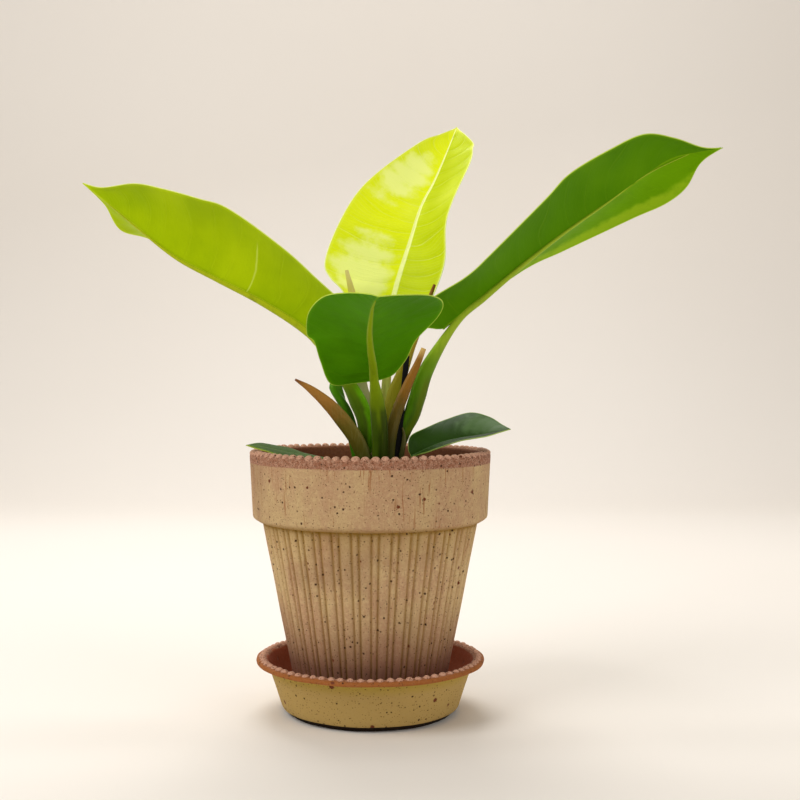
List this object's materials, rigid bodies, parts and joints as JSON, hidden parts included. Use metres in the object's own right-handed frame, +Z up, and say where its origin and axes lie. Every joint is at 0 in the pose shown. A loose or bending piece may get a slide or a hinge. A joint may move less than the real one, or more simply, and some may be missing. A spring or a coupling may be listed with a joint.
{
  "type": "potted moonlight philodendron",
  "caption": "Moonlight philodendron with broad lime and green leaves in a fluted terracotta pot with a beaded rim, on a beaded saucer.",
  "frame": {"origin": "centre of the flat underside of the saucer's foot, under the axis of the pot", "axes": "+Z up along the axis of the pot, +X to the right and +Y to the back as seen from the front"},
  "size_m": [0.4898, 0.252, 0.4564],
  "materials": {
    "saucer": "slip-washed terracotta, cream over pinkish clay",
    "pot": "slip-washed terracotta, cream with rust specks, bare pink clay at the rim",
    "soil": "dark potting mix of bark and peat",
    "crown": "short green-brown stem",
    "support_stake": "matt black",
    "leaf_front": "satin mid green leaf",
    "leaf_left": "satin yellow-green leaf",
    "leaf_right": "satin green leaf",
    "leaf_top": "glossy lime-yellow young leaf",
    "leaf_behind": "satin dark green leaf",
    "leaf_small_right": "satin dark green leaf",
    "leaf_small_left": "satin dark green leaf",
    "sheath_front": "drying olive and orange-brown sheath",
    "sheath_right": "red-brown drying sheath",
    "sheath_tall": "yellow-brown drying sheath",
    "sheath_pale": "pale drying sheath",
    "sheath_short": "dry olive-brown sheath"
  },
  "bodies": {
    "root": {"saucer": "saucer", "pot": "pot", "soil": "soil", "crown": "crown", "support_stake": "support_stake", "leaf_front": "leaf_front", "leaf_left": "leaf_left", "leaf_right": "leaf_right", "leaf_top": "leaf_top", "leaf_behind": "leaf_behind", "leaf_small_right": "leaf_small_right", "leaf_small_left": "leaf_small_left", "sheath_front": "sheath_front", "sheath_right": "sheath_right", "sheath_tall": "sheath_tall", "sheath_pale": "sheath_pale", "sheath_short": "sheath_short"}
  },
  "joints": []
}
